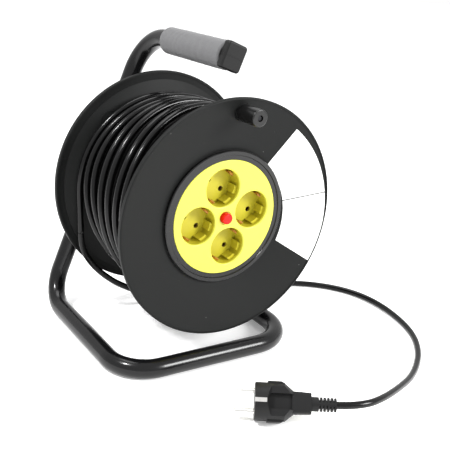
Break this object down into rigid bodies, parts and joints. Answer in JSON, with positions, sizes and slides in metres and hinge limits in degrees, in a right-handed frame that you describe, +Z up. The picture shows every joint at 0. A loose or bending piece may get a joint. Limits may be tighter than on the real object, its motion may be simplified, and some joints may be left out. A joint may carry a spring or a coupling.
{
  "type": "extension cord reel",
  "caption": "Extension cord reel on a bent-tube stand: a drum with earthed sockets in its face, a winding knob, a reset button and a cord with a plug.",
  "frame": {"origin": "on the floor, under the middle of the reel's box, measured without the free cord and its plug", "axes": "+Z up, -Y towards the side with the sockets, +X to the right as seen from that side"},
  "size_m": [0.3909, 0.3847, 0.3312],
  "materials": {
    "frame_tube": "gloss black paint",
    "strut_tube": "gloss black paint",
    "handle_grip": "matt grey foam",
    "grip_end_cap": "matt black",
    "axle_bolt": "zinc plated",
    "saddle_washer": "zinc plated",
    "spacer_sleeve": "matt black",
    "thrust_washer": "zinc plated",
    "axle_washer": "zinc plated",
    "axle_nut": "zinc plated",
    "cord_lead": "smooth black sheath",
    "plug_strain_relief": "matt black",
    "plug_body": "matt black",
    "plug_pins": "nickel plated",
    "plug_earth_strips": "nickel plated",
    "front_flange": "fine matt black",
    "rear_flange": "fine matt black",
    "drum_barrel": "fine matt black",
    "hub_bushes": "white",
    "socket_housing": "satin black",
    "face_plate": "satin yellow",
    "socket_cups": "satin yellow",
    "earth_springs": "bright",
    "earth_bus": "bright",
    "contact_sleeves": "bright",
    "live_bus": "bright",
    "neutral_bus": "bright",
    "thermal_cutout": "matt black",
    "housing_screws": "zinc plated",
    "drum_screws": "zinc plated",
    "cord_inner_end": "smooth black sheath",
    "cord_clamp": "matt black",
    "clamp_screws": "zinc plated",
    "rating_label": "blank white film",
    "winding_core": "smooth black sheath",
    "winding_outer": "smooth black sheath",
    "knob_pin": "plain steel",
    "crank_knob": "matt black",
    "reset_button": "gloss red"
  },
  "bodies": {
    "stand": {"frame_tube": "frame_tube", "strut_tube": "strut_tube", "handle_grip": "handle_grip", "grip_end_cap": "grip_end_cap", "axle_bolt": "axle_bolt", "saddle_washer": "saddle_washer", "spacer_sleeve": "spacer_sleeve", "thrust_washer": "thrust_washer", "axle_washer": "axle_washer", "axle_nut": "axle_nut", "cord_lead": "cord_lead", "plug_strain_relief": "plug_strain_relief", "plug_body": "plug_body", "plug_pins": "plug_pins", "plug_earth_strips": "plug_earth_strips"},
    "drum": {"front_flange": "front_flange", "rear_flange": "rear_flange", "drum_barrel": "drum_barrel", "hub_bushes": "hub_bushes", "socket_housing": "socket_housing", "face_plate": "face_plate", "socket_cups": "socket_cups", "earth_springs": "earth_springs", "earth_bus": "earth_bus", "contact_sleeves": "contact_sleeves", "live_bus": "live_bus", "neutral_bus": "neutral_bus", "thermal_cutout": "thermal_cutout", "housing_screws": "housing_screws", "drum_screws": "drum_screws", "cord_inner_end": "cord_inner_end", "cord_clamp": "cord_clamp", "clamp_screws": "clamp_screws", "rating_label": "rating_label", "winding_core": "winding_core", "winding_outer": "winding_outer", "knob_pin": "knob_pin"},
    "knob": {"crank_knob": "crank_knob"},
    "button": {"reset_button": "reset_button"}
  },
  "joints": [
    {"name": "drum_spin", "type": "hinge", "parent": "stand", "child": "drum", "pos_m": [0.0015, 0, 0.1552], "axis": [0, 1, 0], "continuous": true},
    {"name": "knob_spin", "type": "hinge", "parent": "drum", "child": "knob", "pos_m": [0.00534, -0.10675, 0.26513], "axis": [0, 1, 0], "continuous": true},
    {"name": "button_press", "type": "slide", "parent": "drum", "child": "button", "axis": [0, 1, 0], "range_m": [0, 0.003], "stiffness_N_per_m": 300}
  ]
}
